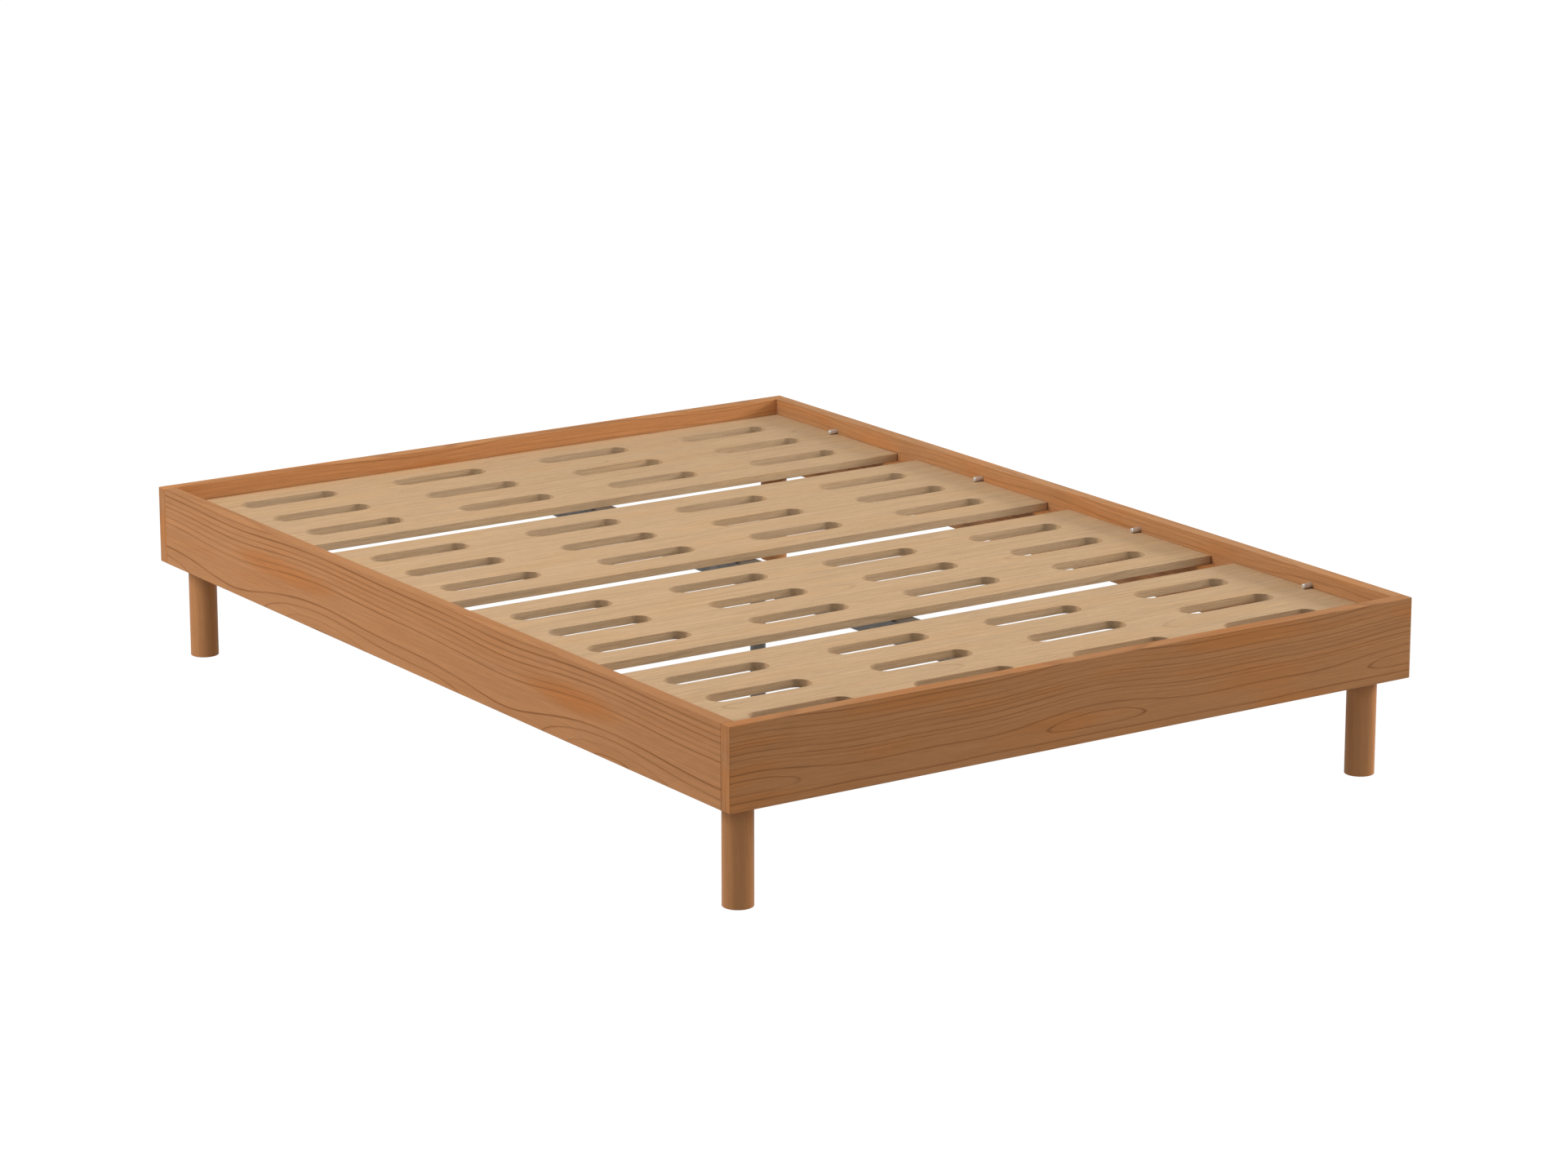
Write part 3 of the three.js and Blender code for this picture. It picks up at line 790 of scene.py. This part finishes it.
def deck_panel(k, material):
    holes = []
    for column in range(SLOT_COLUMNS):
        for row in range(SLOT_ROWS):
            u = (column - (SLOT_COLUMNS - 1) / 2) * SLOT_STEP_X
            v = (row - (SLOT_ROWS - 1) / 2) * SLOT_STEP_Y
            holes.append(Hole(u, v, SLOT_LENGTH, SLOT_WIDTH, SLOT_STEP_X / 2, SLOT_STEP_Y / 2, None, 1))
    planed(f"deck_panel_{k}", (0, 1, 2), holes, DECK_EDGE, material, "deck_wood")


def panel_pin(side, k, material):
    node = f"panel_pin_{side}_{k}"
    size = size_of(node)
    radius, length = size.z / 2, size.x
    tip = 0.9 * MM
    profile = [(0, 0), (radius - tip, 0), (radius, tip), (radius, length - tip),
               (radius - tip, length), (0, length)]
    flip = side == "left"
    pin = turned(f"{node}_turned", rounded(profile, 0.6 * MM), start_of(node, 0, flip), 40, 0, flip)
    dress(pin, material, "bright_steel", node, body=node)


# ------------------ fasteners


def thread_loops(radius, pitch, z0, z1, segments):
    """Loops of a screw thread that runs out at both ends."""
    depth = 0.6 * pitch
    steps = max(2, round((z1 - z0) / pitch * 6))
    loops = []
    for k in range(steps + 1):
        z = z0 + (z1 - z0) * k / steps
        fade = min(1.0, k / 4, (steps - k) / 4)
        loop = []
        for i in range(segments):
            phase = (z / pitch - i / segments) % 1.0
            reach = radius - depth * fade * (1 - abs(2 * phase - 1))
            loop.append(around(reach, i / segments, z))
        loops.append(loop)
    return loops


def threaded_rod(node, threads, material, body=ROOT):
    """A round upright bar with threads on the given stretches of it."""
    size = size_of(node)
    radius, length = size.x / 2, size.z
    pitch, chamfer, segments = 1.5 * MM, 1 * MM, 28
    loops = circles([(0, 0), (radius - chamfer, 0), (radius, chamfer)], segments)
    for z0, z1 in threads:
        loops += thread_loops(radius, pitch, max(z0, chamfer), min(z1, length - chamfer), segments)
    loops += circles([(radius, length - chamfer), (radius - chamfer, length), (0, length)], segments)
    rod = placed(loft(f"{node}_turned", loops), start_of(node))
    dress(rod, material, "zinc_steel", node, body=body)


CORNER_SCREW = {"head_r": 6.5 * MM, "head_h": 8 * MM, "shank_r": 3.5 * MM, "socket": 6 * MM,
                "pitch": 2 * MM, "bite": 21 * MM}
BRACKET_SCREW = {"head_r": 4.6 * MM, "head_h": 2.6 * MM, "shank_r": 2.3 * MM, "socket": 3 * MM,
                 "pitch": 1.8 * MM, "bite": 16.7 * MM}


def socket_screw(node, axis, flip, material, head_r, head_h, shank_r, socket, pitch, bite):
    """A screw with a round head, a hexagon socket in it and a thread up to its point."""
    length = size_of(node)[axis]
    edge, depth, point, segments = 0.08 * head_r, 0.5 * head_h, 3 * MM, 36
    head = [(head_r - edge, 0), (head_r, edge), (head_r, head_h - edge), (head_r - edge, head_h)]
    loops = [*circles([(0, depth)], segments), hexagon(socket, depth, segments),
             hexagon(socket, 0, segments), *circles(head + [(shank_r, head_h)], segments)]
    loops += thread_loops(shank_r, pitch, length - bite, length - point, segments)
    loops += circles([(0.35 * shank_r, length), (0, length)], segments)
    screw = placed(loft(f"{node}_turned", loops), start_of(node, axis, flip), axis, flip)
    dress(screw, material, "zinc_steel", node)


HEX_SEGMENTS = 48
HEX_FREE = 0.475  # where a hexagon's turned corners begin, as a share of its width across flats
HEX_SLOPE = 0.577  # and how steeply they fall


def hex_sides(flats, height):
    """The loops of a hexagon with turned corners, from z 0 to its height."""
    free = HEX_FREE * flats
    low, high = circles([(free, 0), (free, height)], HEX_SEGMENTS)
    return [low, hexagon(flats, 0, HEX_SEGMENTS, -HEX_SLOPE, free),
            hexagon(flats, height, HEX_SEGMENTS, HEX_SLOPE, free), high]


def hex_nut(name, flats, height, bore):
    lead = 0.4 * MM
    inside = [(bore + lead, height), (bore, height - lead), (bore, lead), (bore + lead, 0)]
    return loft(name, hex_sides(flats, height) + circles(inside, HEX_SEGMENTS), closed=True)


def hex_bolt(name, flats, height, radius, length):
    """A hexagon head from z 0 to its height, and a threaded shank up to the length."""
    pitch, plain, point = 1.0 * MM, 3 * MM, 0.6 * MM
    loops = circles([(0, 0)], HEX_SEGMENTS) + hex_sides(flats, height)
    loops += circles([(radius, height)], HEX_SEGMENTS)
    loops += thread_loops(radius, pitch, height + plain, length - point, HEX_SEGMENTS)
    return loft(name, loops + circles([(radius - 0.5 * MM, length), (0, length)], HEX_SEGMENTS))


# ------------------ cutting and folding


def rounded_rectangle(width, height, radius, y):
    """Points in the XZ plane around a rectangle with round corners."""
    points = []
    steps = 6
    corners = ((1, 1, 0), (-1, 1, 90), (-1, -1, 180), (1, -1, 270))
    for sx, sz, start in corners:
        for i in range(steps + 1):
            angle = math.radians(start + 90 * i / steps)
            points.append((sx * (width / 2 - radius) + radius * math.cos(angle), y,
                           sz * (height / 2 - radius) + radius * math.sin(angle)))
    return points


def drill(radius, length, place, axis=2):
    """A plain round tool for `carve`."""
    return turned("drill", [(0, 0), (radius, 0), (radius, length), (0, length)], place, 24, axis)


def stepped_hole(radius, depth, far_radius, length):
    """The (r, z) profile of a hole with a chamfered mouth at z 0 and another radius past a depth."""
    lead, over = 1.6 * MM, 1 * MM
    return [(0, -over), (radius + lead, -over), (radius, lead - over), (radius, depth),
            (far_radius, depth), (far_radius, length), (0, length)]


def carve(obj, tools):
    """Cuts the tools out of a piece and removes them."""
    for tool in tools:
        change = obj.modifiers.new("carve", "BOOLEAN")
        change.operation = "DIFFERENCE"
        change.solver = "EXACT"
        change.object = tool
        result = bpy.data.meshes.new_from_object(
            obj.evaluated_get(bpy.context.evaluated_depsgraph_get()))
        obj.modifiers.remove(change)
        obj.data = result
        bpy.data.objects.remove(tool)
    work = bmesh.new()
    work.from_mesh(obj.data)
    bmesh.ops.remove_doubles(work, verts=work.verts, dist=2e-6)
    bmesh.ops.dissolve_degenerate(work, edges=work.edges, dist=2e-6)
    bmesh.ops.triangulate(work, faces=[face for face in work.faces if len(face.verts) > 4])
    for face in work.faces:
        face.smooth = True
    work.to_mesh(obj.data)
    work.free()
    keep_faces_flat(obj, 30)


def cell_solid(xs, ys, zs, filled):
    """The skin of the cells (i, j, k) between the given planes that are filled."""
    work = bmesh.new()
    verts = {}

    def vert(i, j, k):
        if (i, j, k) not in verts:
            verts[i, j, k] = work.verts.new((xs[i], ys[j], zs[k]))
        return verts[i, j, k]

    for cell in filled:
        for axis in range(3):
            for step in (0, 1):
                beside = list(cell)
                beside[axis] += 2 * step - 1
                if tuple(beside) in filled:
                    continue
                one, two = (axis + 1) % 3, (axis + 2) % 3
                corners = []
                for p, q in ((0, 0), (1, 0), (1, 1), (0, 1)):
                    corner = list(cell)
                    corner[axis] += step
                    corner[one] += p
                    corner[two] += q
                    corners.append(vert(*corner))
                work.faces.new(corners)
    return work


# ------------------ legs and corners

GLIDE_HOLE_R = 15.3 * MM
GLIDE_HOLE_DEPTH = 2.8 * MM
STUD_HOLE_R = 5.3 * MM
STUD_HOLE_DEPTH = 35.3 * MM
BARREL_HOLE_R = 6.3 * MM
BARREL_HOLE_DEPTH = 14.3 * MM
HEAD_HOLE_R = 7.3 * MM
HEAD_HOLE_DEPTH = 38 * MM
SHANK_HOLE_R = 3.8 * MM
BLOCK_CHAMFER = 24 * MM


def leg(end, side, material):
    node = f"leg_{end}_{side}"
    size = size_of(node)
    radius, height = size.x / 2, size.z
    bottom = height - STUD_HOLE_DEPTH
    profile = [(0, GLIDE_HOLE_DEPTH), (GLIDE_HOLE_R, GLIDE_HOLE_DEPTH), (GLIDE_HOLE_R, 0), (radius, 0),
               (radius, height), (STUD_HOLE_R, height), (STUD_HOLE_R, bottom), (0, bottom)]
    wooden_leg = turned(f"{node}_turned", rounded(profile, 1.2 * MM, 4), start_of(node), 72)
    dress(wooden_leg, material, "leg_wood", node)


def corner_block(end, side, material):
    """A block with its inner corner cut off, bored for the leg's stud and both boards' screws."""
    node = f"corner_block_{end}_{side}"
    mid, size = middle_of(node), size_of(node)
    sx = 1 if side == "right" else -1
    sy = 1 if end == "head" else -1
    half, height = size.x / 2, size.z
    cut = -half + BLOCK_CHAMFER
    outline = [(half, half), (-half, half), (-half, cut), (cut, -half), (half, -half)]
    loops = [[(sx * x, sy * y, z) for x, y in outline] for z in (-height / 2, height / 2)]
    block = loft(f"{node}_sawn", loops, mid, bevel=0.8 * MM)

    stud_hole = stepped_hole(STUD_HOLE_R, height - BARREL_HOLE_DEPTH, BARREL_HOLE_R, height + 1 * MM)
    screw_hole = stepped_hole(HEAD_HOLE_R, HEAD_HOLE_DEPTH, SHANK_HOLE_R, size.x + 1 * MM)
    stud = middle_of(f"leg_stud_{end}_{side}")
    side_screw = middle_of(f"side_rail_screw_{end}_{side}")
    end_screw = middle_of(f"end_board_screw_{end}_{side}")
    stud.z = mid.z - height / 2
    side_screw.x = mid.x - sx * half
    end_screw.y = mid.y - sy * half
    carve(block, [turned("stud_tool", stud_hole, stud, 32),
                  turned("side_tool", screw_hole, side_screw, 32, 0, sx < 0),
                  turned("end_tool", screw_hole, end_screw, 32, 1, sy < 0)])
    dress(block, material, "block_wood", node)


def tee_nut(node, material):
    size = size_of(node)
    flange, barrel, bore = size.x / 2, 6 * MM, 5.3 * MM
    height, under = size.z, size.z - 1.6 * MM
    profile = [(bore, 0), (barrel, 0), (barrel, under), (flange, under), (flange, height),
               (bore, height), (bore, 0)]
    profile = rounded(profile, 0.35 * MM, 2)[:-1]
    nut = turned(f"{node}_turned", profile, start_of(node), 40, closed=True)
    dress(nut, material, "zinc_steel", node)


def leg_glide(node, material):
    size = size_of(node)
    radius, height = size.x / 2, size.z
    profile = rounded([(0, 0), (radius, 0), (radius, height), (0, height)], 0.7 * MM)
    dress(turned(f"{node}_moulded", profile, start_of(node), 56), material, "nylon", node)


def corner_hardware(end, side, zinc, nylon):
    at = f"{end}_{side}"
    socket_screw(f"side_rail_screw_{at}", 0, side == "left", zinc["across"], **CORNER_SCREW)
    socket_screw(f"end_board_screw_{at}", 1, end == "foot", zinc["lengthwise"], **CORNER_SCREW)
    stud = f"leg_stud_{at}"
    length = size_of(stud).z
    lead, in_leg, in_nut = 1 * MM, 33 * MM, 24 * MM
    threaded_rod(stud, ((lead, in_leg), (length - in_nut, length - lead)), zinc["upright"])
    tee_nut(f"leg_tee_nut_{at}", zinc["upright"])
    leg_glide(f"leg_glide_{at}", nylon)


# ------------------ centre beam, brackets and leg

BOLT_HOLE_R = 3.3 * MM
BEAM_WALL = 2 * MM
BEAM_CORNER = 4 * MM
BEAM_PLAY = 0.5 * MM
SHEET = 2.5 * MM
CHEEK_HEIGHT = 36 * MM
POST_R = 14.3 * MM
POST_WALL = 1.6 * MM
FERRULE_BORE = 5.3 * MM
FERRULE_HEIGHT = 10 * MM
FLANGE = 4 * MM
WELD_SEGMENTS = 144
WELD_RIPPLES = 36
WELD_RIPPLE = 0.012  # each ripple's height, as a share of the radius


def centre_beam(material):
    size = size_of("centre_beam")
    half = size.y / 2
    lead = 0.3 * MM
    full = (size.x, size.z, BEAM_CORNER)
    eased = (size.x - 2 * lead, size.z - 2 * lead, BEAM_CORNER - lead)
    hollow = (size.x - 2 * BEAM_WALL, size.z - 2 * BEAM_WALL, BEAM_CORNER - BEAM_WALL)
    stations = ((eased, -half), (full, -half + lead), (full, half - lead), (eased, half),
                (hollow, half), (hollow, -half))
    loops = [rounded_rectangle(*section, y) for section, y in stations]
    beam = loft("centre_beam_drawn", loops, middle_of("centre_beam"), closed=True)
    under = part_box("centre_beam")[0].z - BEAM_WALL / 2
    tools = []
    for end in ENDS:
        bolt = middle_of(f"centre_leg_bolt_{end}")
        tools.append(drill(BOLT_HOLE_R, 2 * BEAM_WALL, (bolt.x, bolt.y, under)))
    carve(beam, tools)
    dress(beam, material, "dark_steel", "centre_beam")


def beam_bracket(end, material, zinc):
    """A folded plate against the end board, with a shelf and two cheeks around the beam."""
    node = f"beam_bracket_{end}"
    low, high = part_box(node)
    mid = (low + high) / 2
    half = size_of("centre_beam").x / 2 + BEAM_PLAY + SHEET
    plate_row = 1 if end == "head" else 0
    fold = high.y - SHEET if plate_row else low.y + SHEET
    plate_back = fold if plate_row else low.y
    xs = [x - mid.x for x in (low.x, -half, -half + SHEET, half - SHEET, half, high.x)]
    ys = [y - mid.y for y in (low.y, fold, high.y)]
    zs = [z - mid.z for z in (low.z, low.z + SHEET, low.z + CHEEK_HEIGHT, high.z)]
    plate = {(i, plate_row, k) for i in range(5) for k in range(3)}
    shelf = {(i, 1 - plate_row, 0) for i in (1, 2, 3)}
    cheeks = {(i, 1 - plate_row, 1) for i in (1, 3)}
    work = cell_solid(xs, ys, zs, plate | shelf | cheeks)
    bevel_mesh(work, 0.45 * MM)
    bracket = new_object(f"{node}_folded", work, mid)
    hole_r, over = 2.6 * MM, 1.5 * MM
    tools = []
    for side in SIDES:
        screw = middle_of(f"beam_bracket_screw_{end}_{side}")
        tools.append(drill(hole_r, SHEET + 2 * over, (screw.x, plate_back - over, screw.z), axis=1))
    carve(bracket, tools)
    dress(bracket, material, "dark_steel", node)
    for side in SIDES:
        screw = f"beam_bracket_screw_{end}_{side}"
        socket_screw(screw, 1, end == "foot", zinc["lengthwise"], **BRACKET_SCREW)


def leg_post(material):
    """The post's tube with a ferrule in its lower end. It stands for the whole centre leg."""
    low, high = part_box("centre_leg")
    top = high.z - FLANGE - low.z + 1 * MM
    inner = POST_R - POST_WALL
    profile = [(FERRULE_BORE, 0), (POST_R, 0), (POST_R, top), (inner, top), (inner, FERRULE_HEIGHT),
               (FERRULE_BORE, FERRULE_HEIGHT), (FERRULE_BORE, 0)]
    profile = rounded(profile, 0.6 * MM, 2)[:-1]
    post = turned("centre_leg_post", profile, start_of("centre_leg"), 64, closed=True)
    dress(post, material, "dark_steel", "centre_leg")


def leg_plate(material):
    mid, size = middle_of("centre_leg"), size_of("centre_leg")
    size.z, mid.z = FLANGE, mid.z + size.z / 2 - FLANGE / 2
    width, cell = 2 * BOLT_HOLE_R, 8 * MM
    holes = []
    for end in ENDS:
        bolt = middle_of(f"centre_leg_bolt_{end}")
        holes.append(Hole(bolt.x, bolt.y, width, width, cell, cell, None, 1))
    plate = new_object("centre_leg_plate", Slab(size, (0, 1, 2), holes).work, mid)
    dress(round_edges(plate, 0.6 * MM), material, "dark_steel")


def leg_weld(material):
    """A rippled bead between the post and its plate."""
    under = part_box("centre_leg")[1].z - FLANGE
    inside = POST_R - 0.4 * MM
    bead = [(inside, under + 0.3 * MM), (POST_R + 3.0 * MM, under + 0.3 * MM),
            (POST_R + 2.4 * MM, under - 1.2 * MM), (POST_R + 1.1 * MM, under - 2.4 * MM),
            (inside, under - 3.0 * MM)]
    loops = []
    for radius, z in bead:
        loop = []
        for i in range(WELD_SEGMENTS):
            turn = i / WELD_SEGMENTS
            ripple = WELD_RIPPLE * math.cos(2 * math.pi * WELD_RIPPLES * turn) * (radius > POST_R)
            loop.append(around(radius * (1 + ripple), turn, z))
        loops.append(loop)
    weld = keep_faces_flat(loft("centre_leg_weld", loops, closed=True), 60)
    dress(weld, material, "dark_steel")


def leg_bolts(material):
    for end in ENDS:
        node = f"centre_leg_bolt_{end}"
        bolt = hex_bolt(f"{node}_forged", flats=10 * MM, height=4 * MM, radius=3 * MM,
                        length=size_of(node).z)
        dress(placed(bolt, start_of(node)), material, "zinc_steel", node)


def levelling_gear(zinc, nylon):
    nut = hex_nut("lock_nut_forged", 17 * MM, size_of("lock_nut").z, FERRULE_BORE)
    dress(placed(nut, start_of("lock_nut")), zinc, "zinc_steel", "lock_nut")
    lead, length = 1.2 * MM, size_of("levelling_stem").z
    threaded_rod("levelling_stem", ((lead, length - lead),), zinc, "centre_foot")
    size = size_of("levelling_foot")
    radius, height = size.x / 2, size.z
    rim, shoulder, socket = 5.5 * MM, 13 * MM, 4 * MM
    profile = [(0, 0), (radius, 0), (radius, rim), (shoulder, height), (STUD_HOLE_R, height),
               (STUD_HOLE_R, socket), (0, socket)]
    profile = rounded(profile, 1 * MM, 4)
    foot = turned("levelling_foot_moulded", profile, start_of("levelling_foot"), 64)
    dress(foot, nylon, "nylon", "levelling_foot", body="centre_foot")


# ------------------ the bed

add_camera()
add_stage()
add_light()

CHERRY = {"light": (0.455, 0.205, 0.080), "dark": (0.210, 0.076, 0.019), "patch": (0.485, 0.186, 0.053)}
FRONT = wood("cherry_foot", 0, 2, seed=1.0, ring=8.0, pith=(-40, 10), ends=0.95, line=0.8, rim=0.4,
             width=2.4, waves=((4.4, 4.5, 700, 20), (2.2, 1.5, 350, 20)), glow=(350, 58, 190, 20),
             **CHERRY)
# The head board's cherry is lighter than the others: painted light for the light falling on its inner face.
# Its lower ends level brings the sawn ends back to the cherry's own tone.
BACK = wood("cherry_head", 0, 2, seed=2.0, ring=8.0, pith=(-40, -10), ends=0.81, line=0.7,
            width=2.4, waves=((4.4, 4.5, 700, 200), (2.2, 1.5, 350, 20)),
            light=(0.525, 0.235, 0.088), dark=(0.26, 0.098, 0.03), patch=(0.56, 0.208, 0.055))
LEFT = wood("cherry_left", 1, 2, seed=3.0, ring=9.6, pith=(-80, 34), line=1.0, rim=0.3,
            width=3.8, uneven=0.25, plain=(86.5, 13), mottle=0.2, glow=(489, 8, 190, 26),
            waves=((12.0, 1.0, 977.5, 277), (5.0, 0.5, 488.75, -90)),
            light=(0.455, 0.207, 0.082), dark=(0.22, 0.076, 0.013), patch=(0.445, 0.164, 0.042))
RIGHT = wood("cherry_right", 1, 2, seed=4.0, ring=10.0, pith=(-92, 50), warp=12.0, line=0.42,
             width=3.0, waves=((8.0, 1.0, 975, 100), (4.0, 1.0, 390, 20)),
             light=(0.50, 0.245, 0.106), dark=(0.22, 0.092, 0.034), patch=(0.53, 0.225, 0.078))
LEDGE = wood("cherry_ledge", 1, 2, seed=5.0, ring=9.0, pith=(-60, 8), waves=((5.0, 1.0, 800, 0),),
             **CHERRY)
LEG = wood("cherry_leg", 2, 0, seed=6.0, ring=9.0, pith=(-48, 30), waves=((3.0, 1.0, 400, 0),),
           line=0.18, fibre=0.06,
           light=(0.472, 0.216, 0.087), dark=(0.205, 0.078, 0.024), patch=(0.495, 0.194, 0.057))
# The deck panels' wood paints shade onto the diagonally facing parts of the slot walls.
DECK = [wood(f"deck_oak_{k}", 0, 1, seed=10.0 + k, ring=15.0, pith=(40 * (k - 2.5), -90), line=0.46,
             fibre=0.15, waves=((8.0, 4.0, 900, 100 * k),), painted_wall_shade=True, roughness=(0.5, 0.64),
             light=(0.543, 0.360, 0.207), dark=(0.355, 0.222, 0.115), patch=(0.56, 0.355, 0.188))
        for k in PANELS]
BLOCK = wood("beech_block", 2, 0, seed=7.0, ring=6.0, pith=(-70, 60), waves=((2.0, 1.0, 300, 0),),
             light=(0.50, 0.30, 0.15), dark=(0.34, 0.18, 0.08), patch=(0.54, 0.32, 0.16))
PIN = bare_steel("bright_steel", (0.80, 0.79, 0.77), along=0, metallic=0.65)
ZINC = {name: bare_steel(f"zinc_{name}", (0.52, 0.54, 0.56), along=axis, roughness=(0.3, 0.5))
        for axis, name in enumerate(("across", "lengthwise", "upright"))}
DARK = painted_steel("powder_coat", (0.120, 0.102, 0.084))
NYLON = moulded_nylon("black_nylon", (0.03, 0.03, 0.03))

end_board("foot", FRONT)
end_board("head", BACK)
side_rail("left", LEFT)
side_rail("right", RIGHT)
for side in SIDES:
    side_ledge(side, LEDGE)
    for k in PANELS:
        panel_pin(side, k, PIN)
for k in PANELS:
    deck_panel(k, DECK[k - 1])
for end, side in CORNERS:
    leg(end, side, LEG)
    corner_block(end, side, BLOCK)
    corner_hardware(end, side, ZINC, NYLON)
centre_beam(DARK)
for end in ENDS:
    beam_bracket(end, DARK, ZINC)
leg_post(DARK)
leg_plate(DARK)
leg_weld(DARK)
leg_bolts(ZINC["upright"])
levelling_gear(ZINC["upright"], NYLON)
